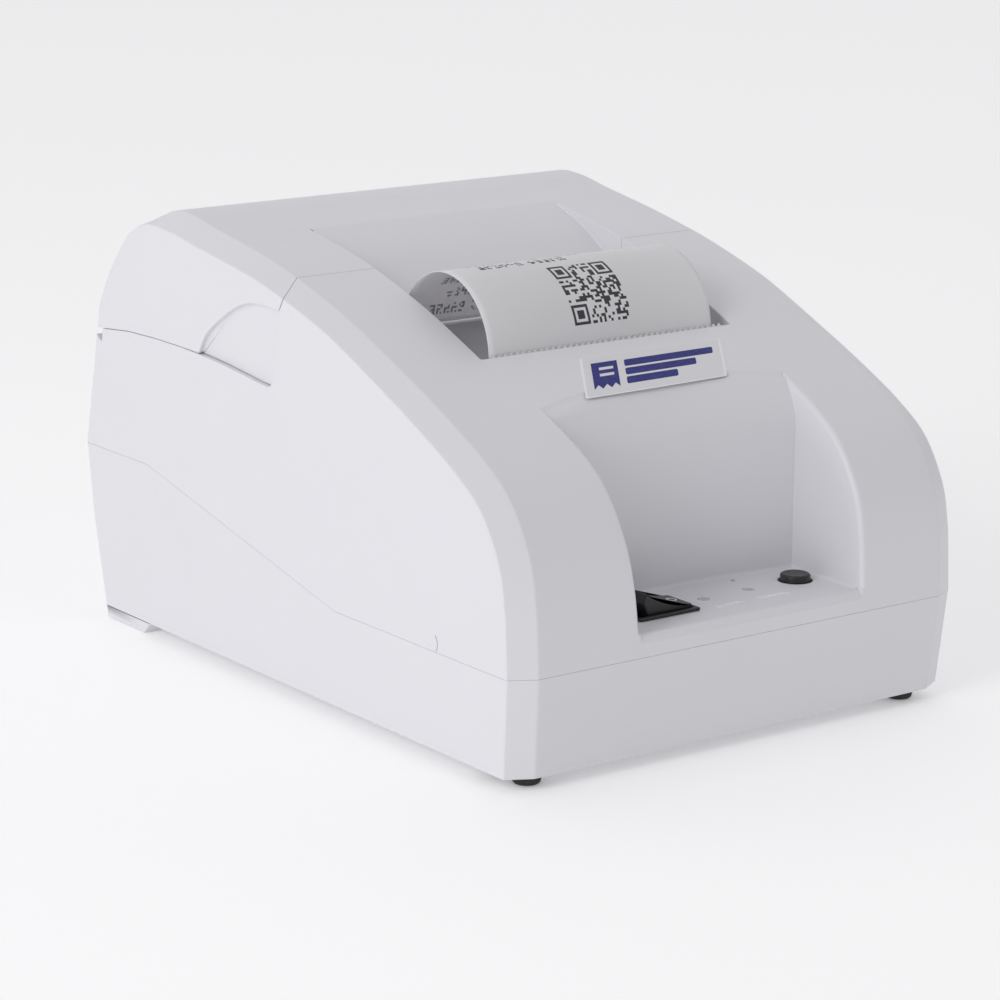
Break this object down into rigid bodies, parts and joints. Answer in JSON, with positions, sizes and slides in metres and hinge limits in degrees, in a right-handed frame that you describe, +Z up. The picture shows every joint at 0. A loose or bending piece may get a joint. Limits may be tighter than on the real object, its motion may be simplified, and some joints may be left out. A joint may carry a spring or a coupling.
{
  "type": "receipt printer",
  "caption": "Small white desktop thermal receipt printer with a hinged paper cover, a roll inside, a curled receipt in its slot, and a recessed front panel with a power switch and feed button.",
  "frame": {"origin": "centre of the bounding box at the plane the feet stand on", "axes": "+Z up, +X to the right seen from the front, +Y towards the rear, so the panel faces -Y"},
  "size_m": [0.114, 0.1624, 0.0958],
  "materials": {
    "white_shell": "fine satin moulded ABS",
    "grey_plastic": "matt moulded",
    "black_plastic": "satin moulded",
    "black_inner": "matt moulded",
    "rubber": "matt",
    "steel": "plated sheet",
    "aluminium": "anodised",
    "ceramic": "glazed ceramic",
    "gear_plastic": "acetal",
    "paper": "smooth thermal paper",
    "card": "wound card",
    "board": "green solder resist",
    "lens": "clear light pipe",
    "cable": "grey insulation",
    "label": "printed film label"
  },
  "bodies": {
    "case": {"base_housing": "white_shell", "upper_housing": "white_shell", "paper_bucket": "grey_plastic", "mech_frame": "steel", "head_spring_l": "steel", "head_spring_r": "steel", "stepper_motor": "steel", "tear_bar": "steel", "paper_web": "paper", "receipt": "paper", "main_board": "board", "port_board": "board", "usb_socket": "steel", "drawer_socket": "black_inner", "power_socket": "black_inner", "panel_board": "board", "power_light": "lens", "paper_light": "lens", "tact_switch": "black_inner", "switch_body": "black_plastic", "ribbon_cable": "cable", "hinge_pin_l": "steel", "hinge_pin_r": "steel", "foot_l": "rubber", "foot_r": "rubber", "front_label": "label", "rating_label": "label", "case_screw_front_l": "steel", "case_screw_front_r": "steel", "case_screw_rear_l": "steel", "case_screw_rear_r": "steel", "bucket_screw_l": "steel", "bucket_screw_r": "steel", "board_screw_front_l": "steel", "board_screw_front_r": "steel", "board_screw_rear_l": "steel", "board_screw_rear_r": "steel"},
    "cover": {"paper_cover": "white_shell", "platen_bush_l": "black_inner", "platen_bush_r": "black_inner"},
    "platen": {"platen_shaft": "steel", "platen_roller": "rubber", "platen_gear": "gear_plastic"},
    "idler": {"idler_gear": "gear_plastic"},
    "pinion": {"motor_pinion": "gear_plastic"},
    "head": {"thermal_head": "ceramic", "head_heatsink": "aluminium"},
    "roll": {"paper_roll": "paper", "roll_core": "card"},
    "button": {"feed_button": "black_plastic"},
    "rocker": {"power_rocker": "black_plastic"}
  },
  "joints": [
    {"name": "cover_hinge", "type": "hinge", "parent": "case", "child": "cover", "pos_m": [0, 0.07335, 0.0666], "axis": [-1, 0, 0], "range_deg": [0, 80], "deforming": ["receipt"]},
    {"name": "platen_spin", "type": "hinge", "parent": "cover", "child": "platen", "pos_m": [0, -0.02885, 0.065], "axis": [1, 0, 0], "continuous": true},
    {"name": "idler_spin", "type": "hinge", "parent": "case", "child": "idler", "pos_m": [0, -0.03185, 0.05133], "axis": [1, 0, 0], "continuous": true},
    {"name": "motor_spin", "type": "hinge", "parent": "case", "child": "pinion", "pos_m": [0, -0.04225, 0.04533], "axis": [1, 0, 0], "continuous": true},
    {"name": "head_pivot", "type": "hinge", "parent": "case", "child": "head", "pos_m": [0, -0.03755, 0.058], "axis": [1, 0, 0], "range_deg": [0, 2.5], "stiffness_Nm_per_rad": 0.5, "springref_deg": -5.73},
    {"name": "roll_spin", "type": "hinge", "parent": "case", "child": "roll", "pos_m": [0, 0.03075, 0.0368], "axis": [1, 0, 0], "continuous": true},
    {"name": "feed_button_press", "type": "slide", "parent": "case", "child": "button", "axis": [0, 0, -1], "range_m": [0, 0.0008], "stiffness_N_per_m": 300},
    {"name": "power_rocker_tilt", "type": "hinge", "parent": "case", "child": "rocker", "pos_m": [-0.01335, -0.0683, 0.0288], "axis": [0, -1, 0], "range_deg": [0, 36]}
  ],
  "couplings": [
    {"joint": "idler_spin", "follows": "platen_spin", "ratio": -0.55556},
    {"joint": "motor_spin", "follows": "platen_spin", "ratio": 1.6667}
  ]
}
